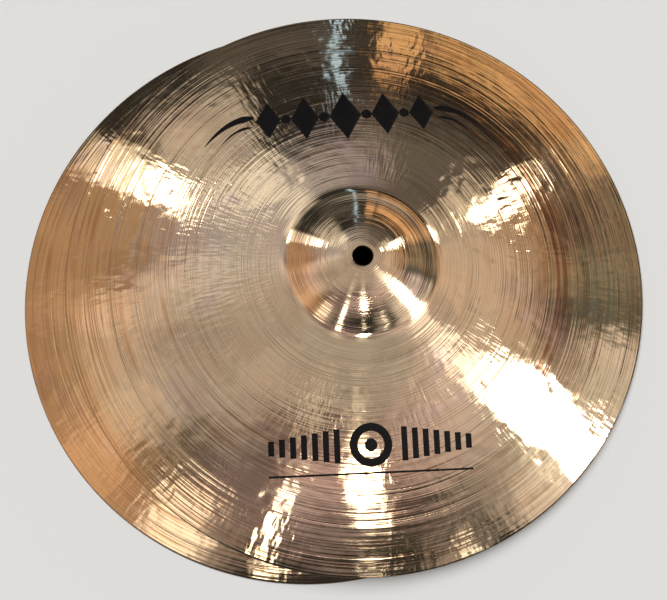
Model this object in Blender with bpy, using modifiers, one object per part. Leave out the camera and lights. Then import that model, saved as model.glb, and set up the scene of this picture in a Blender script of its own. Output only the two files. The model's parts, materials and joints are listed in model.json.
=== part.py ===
"""A nested pair of 15 inch hi-hat cymbals, as a Blender model in metres with +Z up.

Both cymbals lie bell up. The lower one stands on its rim at z = 0. The upper one lies over it, shifted
along +X, so it leans: its bell crease rests on the lower bell and the far side of its rim comes down to
the surface. The origin is the middle of the pair's footprint on that surface.
"""

import math

import bpy
from mathutils import Matrix, Vector

# Driving dimensions, in metres.
RIM_RADIUS = 0.1905  # 15 inches across
HOLE_RADIUS = 0.00635  # for a half inch rod bush
SEAT_RADIUS = 0.0095  # the flat ring round the hole that a felt washer bears on
BELL_RADIUS = 0.048
BELL_HEIGHT = 0.012  # above the bow
BOW_HEIGHT = 0.0175  # above the rim
CREASE_SOFTNESS = 0.0011  # how softly the bell runs into the bow
BELL_POWER = 2.3  # 2 is a parabola; more gives a fuller shoulder
BOW_STRAIGHT_SHARE = 0.22  # the share of the bow's fall that is a plain cone
RIM_LAND = 0.0009  # width of the flat that the rim stands on
RIM_CHAMFER = 0.00025

STACK_SHIFT = 0.034  # from the lower cymbal's axis to the upper one's, along +X
CONTACT_GAP = 0.0004  # kept where the two touch, and under the upper rim

TURN_STEPS = 72

# Thickness at the hole and at the rim. The heavier cymbal of the pair lies on top.
UPPER_THICKNESS = (0.0017, 0.0012)
LOWER_THICKNESS = (0.0014, 0.00095)

BRONZE = (0.80, 0.62, 0.38, 1.0)
BRONZE_ROUGHNESS = 0.28


def inner_height(radius):
    """Height of the underside above the rim plane."""
    r = max(radius, SEAT_RADIUS)
    bell = BOW_HEIGHT + BELL_HEIGHT * (1 - (r / BELL_RADIUS) ** BELL_POWER)
    along = (r - BELL_RADIUS) / (RIM_RADIUS - BELL_RADIUS)
    bow = BOW_HEIGHT * (1 - BOW_STRAIGHT_SHARE * along - (1 - BOW_STRAIGHT_SHARE) * along**2)
    return 0.5 * (bell + bow + math.hypot(bell - bow, CREASE_SOFTNESS))


def inner_slope(radius):
    """The underside's fall per metre outwards, as a negative number."""
    step = 1e-5
    return (inner_height(radius + step) - inner_height(radius - step)) / (2 * step)


def thickness_at(radius, thickness):
    """The metal thins evenly from the hole to the rim."""
    at_hole, at_rim = thickness
    return at_hole + (at_rim - at_hole) * radius / RIM_RADIUS


def outer_point(radius, thickness):
    """The point of the top face that lies square above the underside's point at this radius."""
    square = Vector((-inner_slope(radius), 1.0)).normalized()
    return Vector((radius, inner_height(radius))) + square * thickness_at(radius, thickness)


def sample_radii():
    """Radii for the profile, closest together round the crease at the bell's foot."""
    bell = [SEAT_RADIUS + (BELL_RADIUS - 0.004 - SEAT_RADIUS) * i / 6 for i in range(7)]
    crease = [BELL_RADIUS + offset for offset in (-0.002, 0.0, 0.002, 0.0045)]
    bow_start = BELL_RADIUS + 0.012
    bow_end = RIM_RADIUS - RIM_LAND
    bow = [bow_start + (bow_end - bow_start) * i / 7 for i in range(8)]
    return bell + crease + bow


def profile(thickness):
    """The cross-section, from the hole's top edge out over the top face, round the rim and back below."""
    radii = sample_radii()
    seat_top = inner_height(HOLE_RADIUS) + thickness_at(SEAT_RADIUS, thickness)
    top = [Vector((HOLE_RADIUS, seat_top)), Vector((SEAT_RADIUS, seat_top))]
    top += [outer_point(r, thickness) for r in radii[1:-1]]
    rim_top = thickness_at(RIM_RADIUS, thickness)
    rim = [
        Vector((RIM_RADIUS - RIM_CHAMFER, rim_top)),
        Vector((RIM_RADIUS, rim_top - RIM_CHAMFER)),
        Vector((RIM_RADIUS, RIM_CHAMFER)),
        Vector((RIM_RADIUS - RIM_CHAMFER, 0.0)),
        Vector((RIM_RADIUS - RIM_LAND, 0.0)),
    ]
    below = [Vector((r, inner_height(r))) for r in reversed(radii[:-1])]
    below.append(Vector((HOLE_RADIUS, inner_height(HOLE_RADIUS))))
    return top + rim + below


def gap_between(tilt):
    """The least height between the cymbals along the line through both axes, at this tilt."""
    least = math.inf
    lift = CONTACT_GAP + RIM_RADIUS * math.sin(tilt)
    for i in range(-1200, 1201):
        along = i * 5e-5
        # A point on the upper cymbal's underside, in its own frame, and then in the lower one's.
        own = inner_height(abs(along))
        x = STACK_SHIFT + along * math.cos(tilt) + own * math.sin(tilt)
        z = lift - along * math.sin(tilt) + own * math.cos(tilt)
        below = inner_height(abs(x)) + thickness_at(abs(x), LOWER_THICKNESS)
        least = min(least, z - below)
    return least


def resting_tilt():
    """The smallest tilt that keeps the contact gap between the two cymbals, by halving."""
    low, high = 0.0, math.radians(12)
    for _ in range(40):
        middle = (low + high) / 2
        if gap_between(middle) < CONTACT_GAP:
            low = middle
        else:
            high = middle
    return high


def bronze_material():
    """Polished bell bronze."""
    material = bpy.data.materials.new("bronze")
    material.use_nodes = True
    shader = material.node_tree.nodes["Principled BSDF"]
    shader.inputs["Base Color"].default_value = BRONZE
    shader.inputs["Metallic"].default_value = 1.0
    shader.inputs["Roughness"].default_value = BRONZE_ROUGHNESS
    material.diffuse_color = BRONZE
    return material


def turned(name, points, material, collection):
    """A closed profile in the XZ plane, turned about Z."""
    mesh = bpy.data.meshes.new(name)
    count = len(points)
    edges = [(i, (i + 1) % count) for i in range(count)]
    mesh.from_pydata([(p.x, 0.0, p.y) for p in points], edges, [])
    mesh.materials.append(material)
    shape = bpy.data.objects.new(name, mesh)
    collection.objects.link(shape)
    screw = shape.modifiers.new("turn", "SCREW")
    screw.axis = "Z"
    screw.steps = TURN_STEPS
    screw.render_steps = TURN_STEPS
    screw.use_merge_vertices = True
    screw.merge_threshold = 1e-5
    screw.use_smooth_shade = True
    return shape


def clear_scene():
    """Removes every object that the file opened with."""
    for obj in list(bpy.data.objects):
        bpy.data.objects.remove(obj)


def main():
    clear_scene()
    pair = bpy.data.collections.new("hi_hat_cymbals")
    bpy.context.scene.collection.children.link(pair)
    bronze = bronze_material()

    tilt = resting_tilt()
    lift = CONTACT_GAP + RIM_RADIUS * math.sin(tilt)
    # The footprint runs from the lower rim's -X side to the upper rim's +X side, and is centred on x = 0.
    upper_reach = RIM_RADIUS * math.cos(tilt) + (UPPER_THICKNESS[1] - RIM_CHAMFER) * math.sin(tilt)
    lower_x = (RIM_RADIUS - STACK_SHIFT - upper_reach) / 2

    lower = turned("lower_cymbal", profile(LOWER_THICKNESS), bronze, pair)
    lower.location = (lower_x, 0.0, 0.0)

    upper = turned("upper_cymbal", profile(UPPER_THICKNESS), bronze, pair)
    upper.matrix_world = Matrix.Translation((lower_x + STACK_SHIFT, 0.0, lift)) @ Matrix.Rotation(tilt, 4, "Y")


main()
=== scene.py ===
"""The looks of a nested pair of 15 inch hi-hat cymbals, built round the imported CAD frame.

Each CAD cymbal is replaced by a turned bronze shell with its lathe grooves and hammer marks as real
relief. The upper one carries a printed ornament in black ink. Everything is in metres.
"""
import json
import math

import bpy
import numpy as np
from mathutils import Matrix, Quaternion, Vector

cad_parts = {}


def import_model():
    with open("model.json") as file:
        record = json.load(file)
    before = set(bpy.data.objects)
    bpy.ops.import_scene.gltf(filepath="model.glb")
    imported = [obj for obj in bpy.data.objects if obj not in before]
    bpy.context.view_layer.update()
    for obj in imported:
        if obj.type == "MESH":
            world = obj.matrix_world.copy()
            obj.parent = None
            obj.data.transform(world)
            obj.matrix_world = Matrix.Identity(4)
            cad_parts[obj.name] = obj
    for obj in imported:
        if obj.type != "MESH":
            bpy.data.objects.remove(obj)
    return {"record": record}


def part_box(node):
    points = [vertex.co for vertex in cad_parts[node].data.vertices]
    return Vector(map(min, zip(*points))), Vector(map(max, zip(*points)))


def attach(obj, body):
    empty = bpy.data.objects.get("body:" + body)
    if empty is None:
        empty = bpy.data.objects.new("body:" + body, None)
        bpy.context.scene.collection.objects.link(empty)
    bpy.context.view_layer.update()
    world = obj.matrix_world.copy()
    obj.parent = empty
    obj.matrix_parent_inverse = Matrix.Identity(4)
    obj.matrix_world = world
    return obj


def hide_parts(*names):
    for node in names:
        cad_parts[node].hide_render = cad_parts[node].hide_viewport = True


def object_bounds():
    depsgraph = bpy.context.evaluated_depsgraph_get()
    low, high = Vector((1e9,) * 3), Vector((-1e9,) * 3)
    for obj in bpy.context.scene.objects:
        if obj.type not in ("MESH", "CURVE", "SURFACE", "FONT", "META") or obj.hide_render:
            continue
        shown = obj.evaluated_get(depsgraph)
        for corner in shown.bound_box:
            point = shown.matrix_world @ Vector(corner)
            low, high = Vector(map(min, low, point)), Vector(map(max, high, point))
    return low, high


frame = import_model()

CAD_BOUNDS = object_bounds()

# ---------------------------------------------------------------- the cymbals' form

# As in the CAD, but the crease at the bell's foot is softer, and a little further in to match.

RIM_RADIUS = 0.1905
HOLE_RADIUS = 0.00635
SEAT_RADIUS = 0.0095
BELL_RADIUS = 0.0474
BELL_HEIGHT = 0.012
BOW_HEIGHT = 0.0175
CREASE_SOFTNESS = 0.0021
BELL_POWER = 2.3
BOW_STRAIGHT_SHARE = 0.22
UPPER_THICKNESS = (0.0017, 0.0012)
LOWER_THICKNESS = (0.0014, 0.00095)

# How finely each shell is divided.
SEGMENTS = 480
BELL_RINGS = 26
BOW_RINGS = 140
UNDER_RINGS = 26

EDGE_ROUND = 0.0003
RIM_LAND = 0.0009  # width of the flat that the rim stands on
HAMMERED_FROM = BELL_RADIUS + 0.025  # where the hammering reaches its full depth

# Relief in the meshes: the grooves' greatest depths, the warps' slopes, and for each set of dents how many,
# how wide and how deep. Towards the rim the relief fades, over CALM_ABOVE on top and CALM_BELOW underneath.
BELL_GROOVES = 0.000002
BOW_GROOVES = 0.000018
SLOW_WARP = 0.010
QUICK_WARP = 0.008
CALM_ABOVE = (0.184, 0.1903)
CALM_BELOW = (0.176, 0.187)
DENTS = ((1500, 0.0070, 0.000030), (1800, 0.0028, 0.000045), (280, 0.0038, 0.000100))

# Relief in the materials.
GROOVE_PITCH = 0.0016
GROOVE_DEPTH = 0.000045
HAMMER_DEPTH = 0.00008
NARROW_DEPTH = 0.00013
RUSTY_RING = 0.131

# The metal's colours.
COPPER = (0.85, 0.64, 0.43)
OLIVE = (0.81, 0.66, 0.45)
STAIN = (0.56, 0.33, 0.17)
RUST = (0.46, 0.22, 0.13)
BLUSH = (0.72, 0.54, 0.52)
# Painted shade for the groove borders.
GROOVE_SHADE_COLOUR = (0.30, 0.20, 0.13)
# Painted shade at the rim and round the hole.
EDGE_SHADE_COLOUR = (0.10, 0.065, 0.04)


def inner_height(radius):
    """Height of the underside above the rim plane."""
    r = np.maximum(radius, SEAT_RADIUS)
    bell = BOW_HEIGHT + BELL_HEIGHT * (1 - (r / BELL_RADIUS) ** BELL_POWER)
    along = (r - BELL_RADIUS) / (RIM_RADIUS - BELL_RADIUS)
    bow = BOW_HEIGHT * (1 - BOW_STRAIGHT_SHARE * along - (1 - BOW_STRAIGHT_SHARE) * along**2)
    return 0.5 * (bell + bow + np.hypot(bell - bow, CREASE_SOFTNESS))


def thickness_at(radius, thickness):
    """The metal thins evenly from the hole to the rim."""
    at_hole, at_rim = thickness
    return at_hole + (at_rim - at_hole) * radius / RIM_RADIUS


def outer_height(radius, thickness):
    """Height of the top face above the rim plane."""
    step = 1e-5
    slope = (inner_height(radius + step) - inner_height(radius - step)) / (2 * step)
    return inner_height(radius) + thickness_at(radius, thickness) * np.hypot(1, slope)


# ---------------------------------------------------------------- relief

def dents(x, y, rng, count, width, depth):
    """Shallow oval dents scattered over the bow, as a height to add at each point of the grid x, y."""
    low, high = BELL_RADIUS + 0.004, RIM_RADIUS - 0.003
    height = np.zeros_like(x)
    radii = np.hypot(x[:, 0], y[:, 0])
    for _ in range(count):
        radius = math.sqrt(rng.uniform(low**2, high**2))
        turn = rng.uniform(0, 2 * math.pi)
        broad = width * rng.uniform(0.7, 1.5)
        narrow = broad * rng.uniform(0.5, 1.0)
        heading = rng.uniform(0, math.pi)
        deep = depth * rng.uniform(0.3, 1.0)
        first, last = np.searchsorted(radii, (radius - 1.6 * broad, radius + 1.6 * broad))
        dx, dy = x[first:last] - radius * math.cos(turn), y[first:last] - radius * math.sin(turn)
        along = (dx * math.cos(heading) + dy * math.sin(heading)) / broad
        across = (dy * math.cos(heading) - dx * math.sin(heading)) / narrow
        height[first:last] -= deep * np.exp(-2 * (along**2 + across**2))
    return height


def warp(x, y, rng, count, shortest, longest, slope):
    """The unevenness of a hand-hammered sheet, as waves that together have about the given slope."""
    height = np.zeros_like(x)
    for _ in range(count):
        length = rng.uniform(shortest, longest)
        heading, phase = rng.uniform(0, 2 * math.pi, 2)
        wave = (x * math.cos(heading) + y * math.sin(heading)) * 2 * math.pi / length
        height += slope * length / (2 * math.pi) * np.sin(wave + phase) / math.sqrt(count)
    return height


def fade(radius, start, end):
    """Runs smoothly from 0 at start to 1 at end."""
    t = np.clip((radius - start) / (end - start), 0, 1)
    return t * t * (3 - 2 * t)


# ---------------------------------------------------------------- meshes

TURN = np.arange(SEGMENTS) * 2 * math.pi / SEGMENTS
COS, SIN = np.cos(TURN), np.sin(TURN)


def add_mesh(name, points, corners):
    """A smooth-shaded mesh object from points and four-cornered faces."""
    mesh = bpy.data.meshes.new(name)
    mesh.vertices.add(len(points))
    mesh.vertices.foreach_set("co", points.astype(np.float32).ravel())
    mesh.loops.add(corners.size)
    mesh.loops.foreach_set("vertex_index", corners.astype(np.int32).ravel())
    mesh.polygons.add(len(corners))
    mesh.polygons.foreach_set("loop_start", np.arange(0, corners.size, 4, dtype=np.int32))
    mesh.update(calc_edges=True)
    mesh.validate()
    mesh.shade_smooth()
    shape = bpy.data.objects.new(name, mesh)
    bpy.context.scene.collection.objects.link(shape)
    return shape


def ring(radius, height):
    """The points of one ring round the axis."""
    return np.stack([radius * COS, radius * SIN, height * np.ones(SEGMENTS)], axis=1)


def revolve(name, rings):
    """A closed body from rings of SEGMENTS points. The last ring meets the first."""
    count = len(rings)
    across = np.arange(count)[:, None]
    along = np.arange(SEGMENTS)[None, :]
    after, beside = (across + 1) % count, (along + 1) % SEGMENTS
    corners = np.stack(
        [across * SEGMENTS + along, after * SEGMENTS + along,
         after * SEGMENTS + beside, across * SEGMENTS + beside],
        axis=-1,
    )
    return add_mesh(name, np.concatenate(rings), corners.reshape(-1, 4))


def cymbal(name, thickness, seed):
    """One cymbal about its own Z axis, with its rim plane at z = 0, and its top face as (radii, heights)."""
    rng = np.random.default_rng(seed)
    bell = np.linspace(SEAT_RADIUS, BELL_RADIUS, BELL_RINGS, endpoint=False)
    bow = np.linspace(BELL_RADIUS, RIM_RADIUS - 2 * EDGE_ROUND, BOW_RINGS)
    radii = np.concatenate([bell, bow])
    # Uneven rings, so that the grooves don't look ruled.
    radii[1:-1] += rng.uniform(-0.25, 0.25, len(radii) - 2) * (bow[1] - bow[0])
    # The lathe tool's depth differs from groove to groove, and between passes.
    passes = 0.6 + 0.4 * np.sin(radii / 0.0047 + 2.2 * np.sin(radii / 0.021))
    deepest = np.where(radii < BELL_RADIUS, BELL_GROOVES, BOW_GROOVES)
    grooves = rng.uniform(0, 1, len(radii)) * passes * deepest

    x, y = radii[:, None] * COS, radii[:, None] * SIN
    slow = warp(x, y, rng, 16, 0.045, 0.16, SLOW_WARP)
    hammered = warp(x, y, rng, 26, 0.008, 0.022, QUICK_WARP)
    for count, width, depth in DENTS:
        hammered += dents(x, y, rng, count, width, depth)
    share = fade(radii, BELL_RADIUS, HAMMERED_FROM) * (1 - 0.8 * fade(radii, *CALM_ABOVE))
    heights = (outer_height(radii, thickness) - grooves)[:, None] + share[:, None] * (slow + hammered)

    seat_top = float(inner_height(HOLE_RADIUS) + thickness_at(SEAT_RADIUS, thickness))
    rim_top = float(thickness_at(RIM_RADIUS, thickness))
    rings = [
        ring(HOLE_RADIUS, seat_top - EDGE_ROUND),
        ring(HOLE_RADIUS + 0.3 * EDGE_ROUND, seat_top - 0.3 * EDGE_ROUND),
        ring(HOLE_RADIUS + EDGE_ROUND, seat_top),
        ring(0.5 * (HOLE_RADIUS + SEAT_RADIUS), seat_top),
    ]
    rings += [np.stack([x[i], y[i], heights[i]], axis=1) for i in range(len(radii))]
    for angle in np.radians((60, 30, 0)):
        rings.append(ring(RIM_RADIUS - EDGE_ROUND * (1 - math.cos(angle)),
                          rim_top - EDGE_ROUND * (1 - math.sin(angle))))
    for angle in np.radians((0, 45, 90)):
        rings.append(ring(RIM_RADIUS - EDGE_ROUND * (1 - math.cos(angle)),
                          EDGE_ROUND * (1 - math.sin(angle))))
    rings.append(ring(RIM_RADIUS - RIM_LAND, 0.0))
    under = np.linspace(RIM_RADIUS - 0.003, SEAT_RADIUS, UNDER_RINGS)
    share = fade(under, BELL_RADIUS, HAMMERED_FROM) * (1 - fade(under, *CALM_BELOW))
    for radius, part in zip(under, share):
        nearest = slow[np.abs(radii - radius).argmin()]
        rings.append(ring(radius, inner_height(radius) + part * nearest))
    seat_under = float(inner_height(HOLE_RADIUS))
    rings.append(ring(HOLE_RADIUS + EDGE_ROUND, seat_under))
    rings.append(ring(HOLE_RADIUS, seat_under + EDGE_ROUND))
    return revolve(name, rings), (radii, heights)


# ---------------------------------------------------------------- the printed ornament

FILM = 0.00004  # how far the ink stands above the metal, and how far it reaches into it
FILM_CELLS = 6  # across each stroke
BAND_RADIUS = 0.105
BAND_AZIMUTH = 86
BADGE_RADIUS = 0.114
BADGE_AZIMUTH = -96.4  # the azimuths are in degrees


def height_on(face, x, y):
    """Height of a cymbal's top face at points x, y."""
    radii, heights = face
    radius = np.hypot(x, y)
    i = np.clip(np.searchsorted(radii, radius) - 1, 0, len(radii) - 2)
    f = (radius - radii[i]) / (radii[i + 1] - radii[i])
    turn = np.arctan2(y, x) / (2 * math.pi) * SEGMENTS % SEGMENTS
    j = turn.astype(int) % SEGMENTS
    g = turn - np.floor(turn)
    k = (j + 1) % SEGMENTS
    inner = heights[i, j] * (1 - g) + heights[i, k] * g
    outer = heights[i + 1, j] * (1 - g) + heights[i + 1, k] * g
    return inner * (1 - f) + outer * f


def stroke(along, outward, half_width, closed=False):
    """One printed stroke: its centre line sideways and outwards, its half width, and whether it closes."""
    return np.stack([along, outward], axis=1), half_width * np.ones(len(along)), closed


def lozenge(along, length, width):
    t = np.linspace(-1, 1, 31)
    return stroke(along + 0 * t, t * length / 2, width / 2 * np.maximum(1 - np.abs(t), 0.004))


def dot(along, radius):
    t = np.sin(np.linspace(-1, 1, 15) * math.pi / 2)
    return stroke(along + 0 * t, t * radius, radius * np.sqrt(np.maximum(1 - t * t, 0.0009)))


def bar(along, length, width):
    t = np.linspace(-1, 1, max(4, int(length / 0.001)))
    return stroke(along + 0 * t, t * length / 2, width / 2)


def hoop(radius, width):
    turn = np.linspace(0, 2 * math.pi, 60, endpoint=False)
    return stroke(radius * np.cos(turn), radius * np.sin(turn), width / 2, closed=True)


def tail(side, start, end, outward, drop, width):
    """A swelling line that runs out from the middle and curves down."""
    t = np.linspace(0, 1, 44)
    swell = np.minimum(1, 0.35 + 3 * t) * (1.02 - t) ** 0.7
    return stroke(side * (start + (end - start) * t), outward - drop * t**2.2, width / 2 * swell)


def line(start, end, outward, width):
    t = np.linspace(start, end, int((end - start) / 0.0012))
    return stroke(t, outward + 0 * t, width / 2)


def printed(name, face, strokes, radius, azimuth):
    """Ink strokes laid on a cymbal's top face, each a thin closed film that follows the relief."""
    cos, sin = math.cos(math.radians(azimuth)), math.sin(math.radians(azimuth))
    points, corners, used = [], [], 0
    for centre, half, closed in strokes:
        if closed:
            run = np.roll(centre, -1, axis=0) - np.roll(centre, 1, axis=0)
        else:
            run = np.gradient(centre, axis=0)
        run /= np.linalg.norm(run, axis=1, keepdims=True)
        side = np.stack([-run[:, 1], run[:, 0]], axis=1)
        t = np.linspace(-1, 1, FILM_CELLS + 1)
        flat = centre[:, None, :] + side[:, None, :] * (half[:, None] * t)[..., None]
        along, outward = flat[..., 0], radius + flat[..., 1]
        x, y = outward * cos - along * sin, outward * sin + along * cos
        z = height_on(face, x, y)
        top = np.stack([x, y, z + FILM], axis=-1)
        base = np.stack([x, y, z - FILM], axis=-1)
        # One loop round the film's section at each point of the centre line.
        loop = np.concatenate([top, base[:, ::-1]], axis=1)
        rows, wide = loop.shape[:2]
        a = np.arange(rows if closed else rows - 1)[:, None]
        b = np.arange(wide)[None, :]
        c, d = (a + 1) % rows, (b + 1) % wide
        faces = np.stack([a * wide + b, a * wide + d, c * wide + d, c * wide + b], axis=-1).reshape(-1, 4)
        corners.append(faces + used)
        if not closed:
            for end, flip in ((0, True), (rows - 1, False)):
                left = end * wide + np.arange(FILM_CELLS)
                right = end * wide + wide - 1 - np.arange(FILM_CELLS)
                cap = np.stack([left, right, right - 1, left + 1], axis=1)
                corners.append((cap if flip else cap[:, ::-1]) + used)
        points.append(loop.reshape(-1, 3))
        used += rows * wide
    return add_mesh(name, np.concatenate(points), np.concatenate(corners))


def band_strokes():
    """A row of lozenges and dots, with two tails at each end."""
    strokes = [lozenge(0, 0.037, 0.022)]
    for side in (-1, 1):
        strokes += [
            dot(side * 0.0145, 0.0036),
            lozenge(side * 0.0275, 0.033, 0.0195),
            dot(side * 0.0405, 0.0034),
            lozenge(side * 0.0525, 0.028, 0.0170),
            tail(side, 0.0620, 0.0960, 0.0030, 0.0190, 0.0060),
            tail(side, 0.0640, 0.0850, -0.0045, 0.0120, 0.0026),
        ]
    return strokes


def badge_strokes():
    """A dot in a hoop between two fans of bars, with a line below."""
    strokes = [hoop(0.0105, 0.0048), dot(0, 0.0038), line(-0.062, 0.062, 0.0165, 0.0012)]
    for side in (-1, 1):
        for step in range(7):
            strokes.append(bar(side * (0.0205 + 0.0066 * step), 0.0200 - 0.0019 * step, 0.0036))
    return strokes


# ---------------------------------------------------------------- materials

def node(tree, kind, inputs=None, **settings):
    """A shader node with its settings and inputs. An input is a value or another node's output."""
    made = tree.nodes.new(kind)
    for key, value in settings.items():
        setattr(made, key, value)
    for key, value in (inputs or {}).items():
        if isinstance(value, bpy.types.NodeSocket):
            tree.links.new(value, made.inputs[key])
        else:
            made.inputs[key].default_value = value
    return made


def math_node(tree, operation, *values):
    return node(tree, "ShaderNodeMath", dict(enumerate(values)), operation=operation).outputs[0]


def ramp(tree, value, low, high, to_low=0.0, to_high=1.0):
    """value's range low..high, eased into to_low..to_high."""
    inputs = {"Value": value, "From Min": low, "From Max": high, "To Min": to_low, "To Max": to_high}
    return node(tree, "ShaderNodeMapRange", inputs, interpolation_type="SMOOTHSTEP").outputs["Result"]


def noise(tree, place, scale, detail=2.0, roughness=0.5):
    inputs = {"Vector": place, "Scale": scale, "Detail": detail, "Roughness": roughness}
    return node(tree, "ShaderNodeTexNoise", inputs).outputs["Fac"]


def mix(tree, share, first, second):
    made = node(tree, "ShaderNodeMix", {"Factor": share}, data_type="RGBA")
    for slot, value in ((6, first), (7, second)):
        if isinstance(value, bpy.types.NodeSocket):
            tree.links.new(value, made.inputs[slot])
        else:
            made.inputs[slot].default_value = (*value, 1)
    return made.outputs[2]


def polar(tree):
    """The place on the metal, its distance from the axis, and the direction it lies in."""
    place = node(tree, "ShaderNodeTexCoord").outputs["Object"]
    flat = node(tree, "ShaderNodeVectorMath", {0: place, 1: (1, 1, 0)}, operation="MULTIPLY").outputs[0]
    radius = node(tree, "ShaderNodeVectorMath", {0: flat}, operation="LENGTH").outputs["Value"]
    heading = node(tree, "ShaderNodeVectorMath", {0: flat}, operation="NORMALIZE").outputs[0]
    return place, radius, node(tree, "ShaderNodeSeparateXYZ", {0: heading}).outputs


def wound(tree, heading, turns, row):
    """A place that changes slowly round the axis and quickly from row to row."""
    x, y = (math_node(tree, "MULTIPLY", heading[axis], turns) for axis in (0, 1))
    return node(tree, "ShaderNodeCombineXYZ", {0: x, 1: y, 2: row}).outputs[0]


def row_noise(tree, radius, scale, shift=0.0):
    """Noise that only changes with the distance from the axis."""
    inputs = {"W": math_node(tree, "ADD", radius, shift), "Scale": scale, "Detail": 1.0}
    return node(tree, "ShaderNodeTexNoise", inputs, noise_dimensions="1D").outputs["Fac"]


def chance(tree, cell, shift):
    """A number from 0 to 1 that is fixed for each groove."""
    inputs = {"W": math_node(tree, "ADD", cell, shift)}
    return node(tree, "ShaderNodeTexWhiteNoise", inputs, noise_dimensions="1D").outputs["Value"]


def grooves(tree, radius, heading, pitch):
    """Facets left by the lathe tool: their height from -1 to 1, the groove's number, and the painted shade in
    its borders.
    """
    drift = math_node(tree, "MULTIPLY", row_noise(tree, radius, 130, 5.0), 2.4)
    count = math_node(tree, "MULTIPLY_ADD", radius, 1 / pitch, drift)
    cell = math_node(tree, "FLOOR", count)
    vee = math_node(tree, "MULTIPLY", math_node(tree, "PINGPONG", count, 0.5), 2.0)
    lean = math_node(tree, "MULTIPLY_ADD", chance(tree, cell, 0.0), 2.0, -1.0)
    along = wound(tree, heading, 1.3, math_node(tree, "MULTIPLY", cell, 7.31))
    held = ramp(tree, noise(tree, along, 1.0, 1.0), 0.34, 0.60, 0.2, 1.0)
    height = math_node(tree, "MULTIPLY", math_node(tree, "MULTIPLY", vee, lean), held)
    # Painted shade: each groove's borders are darkened, standing in for the shade and dark reflection in the
    # groove.
    border_shade = math_node(tree, "MULTIPLY", ramp(tree, chance(tree, cell, 17.0), 0.1, 0.9), held)
    return height, cell, math_node(tree, "MULTIPLY", ramp(tree, vee, 0.0, 0.45, 1.0, 0.0), border_shade)


def lathe_lines(tree, radius, heading):
    """Height of the lathe's lines, the number of the groove at each place, and the painted shade in the
    borders.
    """
    broad, cell, broad_border_shade = grooves(tree, radius, heading, GROOVE_PITCH)
    fine, _, fine_border_shade = grooves(tree, radius, heading, 0.45 * GROOVE_PITCH)
    foot = (BELL_RADIUS - 0.001, BELL_RADIUS + 0.004)
    bow = ramp(tree, radius, *foot, 0.8, 1.0)
    fine = math_node(tree, "MULTIPLY", fine, ramp(tree, radius, *foot, 0.8, 0.33))
    zone = ramp(tree, row_noise(tree, radius, 60), 0.35, 0.65, 0.7, 1.2)
    height = math_node(tree, "MULTIPLY", math_node(tree, "MULTIPLY_ADD", broad, bow, fine), zone)
    groove_shade = math_node(tree, "MULTIPLY_ADD", fine_border_shade, 0.5, broad_border_shade)
    return height, cell, math_node(tree, "MULTIPLY", groove_shade, zone)


def bumped(tree, height, distance, onto=None):
    inputs = {"Strength": 1.0, "Distance": distance, "Height": height}
    if onto:
        inputs["Normal"] = onto
    return node(tree, "ShaderNodeBump", inputs).outputs["Normal"]


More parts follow.
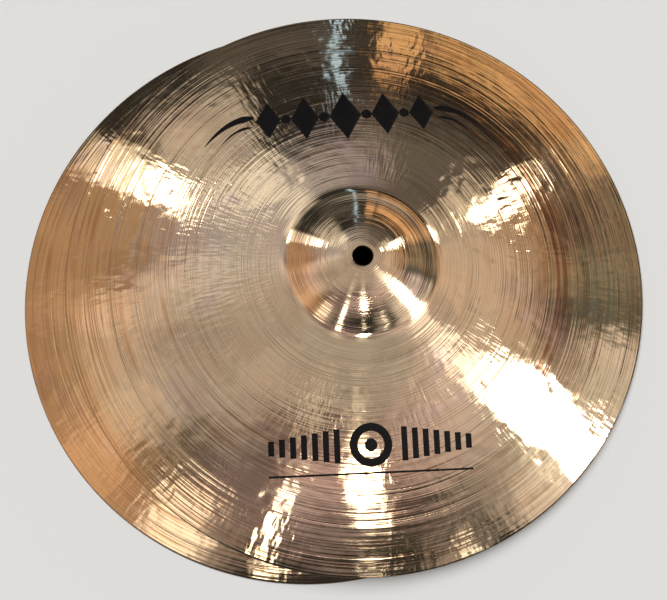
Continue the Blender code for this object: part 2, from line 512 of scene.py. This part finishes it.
def bronze(name, shift):
    """Polished bell bronze. The shift moves its patches, so that the two cymbals differ."""
    material = bpy.data.materials.new(name)
    material.use_nodes = True
    tree = material.node_tree
    shader = tree.nodes["Principled BSDF"]
    place, radius, heading = polar(tree)
    moved = node(tree, "ShaderNodeVectorMath", {0: place, 1: (shift, shift, 0)}, operation="ADD").outputs[0]
    height, cell, groove_shade = lathe_lines(tree, radius, heading)

    colour = mix(tree, ramp(tree, noise(tree, moved, 13, 3), 0.38, 0.62), COPPER, OLIVE)
    # Brown stain sits in single grooves of the outer bow, and most of all in one ring.
    along = wound(tree, heading, 1.1, math_node(tree, "MULTIPLY", cell, 5.17))
    stained = ramp(tree, noise(tree, along, 1.0, 1.0), 0.46, 0.66)
    patchy = ramp(tree, noise(tree, moved, 21, 2), 0.35, 0.6)
    outside = math_node(tree, "MULTIPLY", ramp(tree, radius, 0.090, 0.125), patchy)
    stained = math_node(tree, "MULTIPLY", stained, math_node(tree, "MULTIPLY", outside, 0.6))
    colour = mix(tree, stained, colour, STAIN)
    from_ring = math_node(tree, "ABSOLUTE", math_node(tree, "SUBTRACT", radius, RUSTY_RING))
    right_side = ramp(tree, heading[0], 0.2, 0.8)
    rusty = math_node(tree, "MULTIPLY", ramp(tree, from_ring, 0.002, 0.010, 0.8, 0.0), right_side)
    rusty = math_node(tree, "MULTIPLY", rusty, ramp(tree, chance(tree, cell, 31.0), 0.2, 0.6, 0.2, 1.0))
    colour = mix(tree, rusty, colour, RUST)
    blush = ramp(tree, noise(tree, moved, 30, 2), 0.55, 0.75, 0.0, 0.4)
    colour = mix(tree, blush, colour, BLUSH)
    # Painted shade: the groove borders are darkened in the base colour.
    colour = mix(tree, math_node(tree, "MULTIPLY", groove_shade, 0.7), colour, GROOVE_SHADE_COLOUR)
    # Painted shade: the edges at the rim and round the hole are darkened, for the dark line the rim's edge
    # shows at the seam and the shade on the hole's bevel.
    rim = ramp(tree, radius, RIM_RADIUS - 0.0006, RIM_RADIUS - 0.0001)
    hole = ramp(tree, radius, HOLE_RADIUS + 0.0002, HOLE_RADIUS + 0.0007, 1.0, 0.0)
    edge_shade = math_node(tree, "ADD", rim, hole)
    colour = mix(tree, edge_shade, colour, EDGE_SHADE_COLOUR)
    tree.links.new(colour, shader.inputs["Base Color"])

    smudge = ramp(tree, noise(tree, moved, 45, 4, 0.6), 0.35, 0.75, 0.07, 0.11)
    tree.links.new(math_node(tree, "MULTIPLY_ADD", edge_shade, 0.3, smudge), shader.inputs["Roughness"])
    shader.inputs["Metallic"].default_value = 1.0
    shader.inputs["Anisotropic"].default_value = 0.8
    shader.inputs["Anisotropic Rotation"].default_value = 0.25
    tangent = node(tree, "ShaderNodeTangent", direction_type="RADIAL", axis="Z")
    tree.links.new(tangent.outputs["Tangent"], shader.inputs["Tangent"])
    on_bow = ramp(tree, radius, BELL_RADIUS, BELL_RADIUS + 0.02)
    marks = math_node(tree, "MULTIPLY", noise(tree, moved, 140, 1.0), on_bow)
    hammered = bumped(tree, marks, HAMMER_DEPTH)
    # In patches the hammer's narrow face has left short marks that point to the axis.
    narrow = noise(tree, wound(tree, heading, 42, math_node(tree, "MULTIPLY", radius, 95)), 1.0, 1.0)
    patches = math_node(tree, "MULTIPLY", ramp(tree, noise(tree, moved, 17, 1.0), 0.44, 0.56), on_bow)
    hammered = bumped(tree, math_node(tree, "MULTIPLY", narrow, patches), NARROW_DEPTH, hammered)
    tree.links.new(bumped(tree, height, GROOVE_DEPTH, hammered), shader.inputs["Normal"])
    return material


def ink():
    material = bpy.data.materials.new("black_ink")
    material.use_nodes = True
    tree = material.node_tree
    shader = tree.nodes["Principled BSDF"]
    place, radius, heading = polar(tree)
    height, cell, _ = lathe_lines(tree, radius, heading)
    along = wound(tree, heading, 1.3, math_node(tree, "MULTIPLY", cell, 3.1))
    worn = ramp(tree, noise(tree, along, 1.4, 3, 0.7), 0.62, 0.80)
    tree.links.new(mix(tree, worn, (0.007, 0.007, 0.008), (0.040, 0.032, 0.022)), shader.inputs["Base Color"])
    tree.links.new(ramp(tree, noise(tree, place, 90, 3), 0.3, 0.7, 0.34, 0.52), shader.inputs["Roughness"])
    tree.links.new(bumped(tree, height, 0.4 * GROOVE_DEPTH), shader.inputs["Normal"])
    shader.inputs["Specular IOR Level"].default_value = 0.13
    return material


# ---------------------------------------------------------------- the stage

FLOOR_REACH = 60.0
FLOOR_GAP = 0.0003  # below the lowest point of the metal
LIGHT_DISTANCE = 2.6
MOTTLED_FROM = 11  # a panel that spans more degrees than this both ways is mottled

# The panels' colours.
WHITE = (1.0, 0.98, 0.95)
CREAM = (1.0, 0.96, 0.85)
AMBER = (1.0, 0.64, 0.39)
PALE = (1.0, 0.92, 0.87)
WOOD = (1.0, 0.62, 0.31)
SAND = (1.0, 0.80, 0.58)
BLUE = (0.40, 0.66, 1.0)
MIST = (0.93, 0.88, 1.0)
MAUVE = (1.0, 0.76, 0.84)
GREEN = (0.78, 0.88, 0.74)


def camera():
    """Stands where the photograph was taken from."""
    data = bpy.data.cameras.new("camera")
    data.sensor_width = 36.0
    data.lens = 38.2
    data.shift_x = 0.0118
    data.shift_y = -0.0240
    data.clip_start = 0.01
    shape = bpy.data.objects.new("camera", data)
    bpy.context.scene.collection.objects.link(shape)
    shape.location = (-0.0208, -0.1226, 0.4621)
    shape.rotation_euler = (0.2535, 0.0072, -0.1555)
    bpy.context.scene.camera = shape


def lit_only(name, *shapes):
    """A collection for lights that should reach nothing but these shapes."""
    group = bpy.data.collections.new(name)
    for shape in shapes:
        group.objects.link(shape)
    return group


def floor():
    mesh = bpy.data.meshes.new("floor")
    corners = [(-FLOOR_REACH, -FLOOR_REACH, 0), (FLOOR_REACH, -FLOOR_REACH, 0),
               (FLOOR_REACH, FLOOR_REACH, 0), (-FLOOR_REACH, FLOOR_REACH, 0)]
    mesh.from_pydata(corners, [], [(0, 1, 2, 3)])
    shape = bpy.data.objects.new("floor", mesh)
    bpy.context.scene.collection.objects.link(shape)
    shape.location.z = CAD_BOUNDS[0].z - FLOOR_GAP
    material = bpy.data.materials.new("floor")
    material.use_nodes = True
    shader = material.node_tree.nodes["Principled BSDF"]
    shader.inputs["Base Color"].default_value = (0.80, 0.79, 0.77, 1)
    shader.inputs["Roughness"].default_value = 1.0
    shader.inputs["Specular IOR Level"].default_value = 0.0
    mesh.materials.append(material)

    # The floor has a broad soft light of its own, so it is evenly pale whatever the metal reflects.
    data = bpy.data.lights.new("floor_light", "SUN")
    data.energy = 2.9
    data.angle = math.radians(60)
    light = bpy.data.objects.new("floor_light", data)
    bpy.context.scene.collection.objects.link(light)
    light.rotation_euler = (math.radians(-18), math.radians(-14), 0)
    light.light_linking.receiver_collection = lit_only("floor_only", shape)


def softbox(name, azimuth, elevation, width, height, lean, radiance, colour, softness=0.14):
    """A soft-edged panel of light that faces the cymbals. Every angle is in degrees as seen from them."""
    wide = 2 * LIGHT_DISTANCE * math.tan(math.radians(width / 2))
    high = 2 * LIGHT_DISTANCE * math.tan(math.radians(height / 2))
    data = bpy.data.lights.new(name, "AREA")
    data.shape = "RECTANGLE"
    data.size = wide
    data.size_y = high
    data.energy = math.pi * wide * high * radiance
    data.color = colour
    data.use_nodes = True
    tree = data.node_tree
    on_panel = node(tree, "ShaderNodeNewGeometry").outputs["Parametric"]
    split = node(tree, "ShaderNodeSeparateXYZ", {0: on_panel}).outputs
    edges = [ramp(tree, math_node(tree, "PINGPONG", split[axis], 0.5), 0.0, softness) for axis in (0, 1)]
    strength = math_node(tree, "MULTIPLY", *edges)
    if min(width, height) > MOTTLED_FROM:
        # A large panel is never quite even.
        size = {0: on_panel, 1: (wide, high, 1)}
        spread = node(tree, "ShaderNodeVectorMath", size, operation="MULTIPLY").outputs[0]
        mottle = ramp(tree, noise(tree, spread, 3.2, 3, 0.6), 0.3, 0.7, 0.72, 1.18)
        strength = math_node(tree, "MULTIPLY", strength, mottle)
    tree.links.new(strength, tree.nodes["Emission"].inputs["Strength"])
    shape = bpy.data.objects.new(name, data)
    bpy.context.scene.collection.objects.link(shape)
    a, e = math.radians(azimuth), math.radians(elevation)
    out = Vector((math.cos(a) * math.cos(e), math.sin(a) * math.cos(e), math.sin(e)))
    shape.location = out * LIGHT_DISTANCE
    turn = out.to_track_quat("Z", "Y") @ Quaternion((0, 0, 1), math.radians(lean))
    shape.rotation_mode = "QUATERNION"
    shape.rotation_quaternion = turn
    return shape


def lights():
    """The panels round the metal, as they show in it at the camera's view."""
    return [
        softbox("window", 337, 48, 10, 30, -23, 6.0, WHITE, 0.09),
        softbox("window_glow", 336, 47, 28, 40, -23, 0.42, CREAM, 0.45),
        softbox("window_top", 354, 65, 7, 13, -28, 1.3, WHITE),
        softbox("upper_right", 32, 48, 4, 10, 10, 9.0, CREAM, 0.08),
        softbox("upper_right_inner", 38, 53, 7, 8, 10, 0.7, CREAM),
        softbox("upper_back", 56, 51, 34, 22, 0, 0.12, PALE, 0.3),
        softbox("left", 122, 51, 6.2, 9, 28, 6.0, CREAM, 0.08),
        softbox("left_low", 126, 42, 9, 24, 18, 0.9, CREAM, 0.2),
        softbox("left_edge", 106, 46.5, 22, 18, 0, 0.60, PALE, 0.25),
        softbox("top_low", 88, 32, 34, 14, 0, 0.09, PALE, 0.3),
        softbox("left_inner", 98, 59, 16, 9, 0, 0.7, CREAM),
        softbox("left_high", 100, 64, 50, 22, 0, 0.48, MIST, 0.3),
        softbox("front_a", 247, 60, 3.5, 18, -8, 4.0, CREAM, 0.08),
        softbox("front_a_inner", 257.5, 80.8, 5, 22, -17, 0.45, CREAM, 0.45),
        softbox("front_b", 286, 67.5, 5, 8, 0, 14.0, CREAM, 0.05),
        softbox("front_b_inner", 297.6, 75.3, 5, 23, -36, 0.65, CREAM, 0.45),
        softbox("front_b_low", 275, 46, 3, 16, 0, 1.5, CREAM),
        softbox("front_c", 300, 44, 3, 18, 0, 1.4, CREAM),
        softbox("front_c_glow", 298, 48, 15, 20, 0, 0.36, PALE, 0.3),
        softbox("front_fill", 300, 68, 44, 19, 0, 0.33, MAUVE, 0.3),
        softbox("front_left_fill", 240, 67, 30, 28, 0, 0.19, MAUVE, 0.3),
        softbox("front_middle_fill", 268, 72, 22, 13, 0, 0.30, MAUVE, 0.3),
        softbox("low_left", 220, 55, 11, 13, 0, 1.2, CREAM, 0.25),
        softbox("front_left_low", 223, 52, 22, 26, 0, 0.32, PALE, 0.3),
        softbox("front_right_low", 320, 42, 16, 22, 0, 0.50, PALE, 0.25),
        softbox("wood_wide", 44, 28, 40, 12, 0, 0.82, WOOD, 0.18),
        softbox("wood_slim", 67, 30, 6, 13, 0, 0.85, WOOD),
        softbox("slit", 77, 33, 1.8, 24, 0, 1.3, BLUE),
        softbox("left_wall", 168, 38, 76, 56, 0, 0.47, AMBER, 0.25),
        softbox("left_front", 204, 48, 32, 42, 0, 0.26, AMBER, 0.25),
        softbox("front_right", 326, 55, 26, 46, 0, 0.33, PALE, 0.3),
        softbox("right_edge", 348, 38, 21, 18, 0, 0.70, PALE, 0.3),
        softbox("right_wall", 8, 56, 34, 22, 0, 0.25, AMBER, 0.3),
        softbox("right_glow", 20, 45, 24, 13, 0, 0.32, AMBER, 0.3),
        softbox("right_middle", 4, 40, 24, 14, 0, 0.16, GREEN, 0.3),
        softbox("right_low", 16, 31, 40, 13, 0, 0.30, SAND, 0.3),
        softbox("ceiling", 90, 84.5, 84, 36, 0, 0.48, PALE, 0.2),
    ]


def world():
    """A pale backdrop, and round the metal a pale horizon under a dim ceiling, where the panels hang."""
    surroundings = bpy.data.worlds.new("world")
    surroundings.use_nodes = True
    tree = surroundings.node_tree
    outward = node(tree, "ShaderNodeTexCoord").outputs["Generated"]
    up = node(tree, "ShaderNodeSeparateXYZ", {0: outward}).outputs[2]
    around = ramp(tree, up, 0.16, 0.36, 0.60, 0.03)
    behind = node(tree, "ShaderNodeLightPath").outputs["Is Camera Ray"]
    strength = math_node(tree, "MAXIMUM", around, math_node(tree, "MULTIPLY", behind, 0.74))
    tree.links.new(strength, tree.nodes["Background"].inputs["Strength"])
    tree.nodes["Background"].inputs["Color"].default_value = (1.0, 0.985, 0.96, 1)
    bpy.context.scene.world = surroundings


def main():
    bpy.context.scene.view_settings.view_transform = "Standard"
    camera()
    floor()
    world()

    # The felt seat's point lies beside the hole, straight along Y from the upper cymbal's axis.
    seat = {m["name"]: m for m in frame["record"]["mounts"]}["upper_felt_seat"]
    axis = Vector(seat["axis"]).normalized()
    seat_height = float(inner_height(HOLE_RADIUS) + thickness_at(SEAT_RADIUS, UPPER_THICKNESS))
    upper_centre = Vector((seat["pos_m"][0], 0, seat["pos_m"][2])) - axis * seat_height
    low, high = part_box("lower_cymbal")

    upper, upper_face = cymbal("upper_bronze", UPPER_THICKNESS, 11)
    lean = Vector((0, 0, 1)).rotation_difference(axis).to_matrix().to_4x4()
    upper.matrix_world = Matrix.Translation(upper_centre) @ lean
    lower, _ = cymbal("lower_bronze", LOWER_THICKNESS, 23)
    lower.location = ((low.x + high.x) / 2, (low.y + high.y) / 2, low.z)
    for shape, cad, body in ((upper, "upper_cymbal", "upper"), (lower, "lower_cymbal", "lower")):
        shape.data.materials.append(bronze(cad + "_metal", shape.location.x * 10))
        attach(shape, body)
        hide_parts(cad)

    pieces = [upper, lower]
    black = ink()
    marks = (
        ("upper_mark_band", band_strokes(), BAND_RADIUS, BAND_AZIMUTH),
        ("upper_mark_badge", badge_strokes(), BADGE_RADIUS, BADGE_AZIMUTH),
    )
    for name, strokes, radius, azimuth in marks:
        mark = printed(name, upper_face, strokes, radius, azimuth)
        mark.matrix_world = Matrix.Translation(upper_centre) @ lean
        mark.data.materials.append(black)
        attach(mark, "upper")
        pieces.append(mark)
    metal_only = lit_only("metal_only", *pieces)
    for panel in lights():
        panel.light_linking.receiver_collection = metal_only


main()
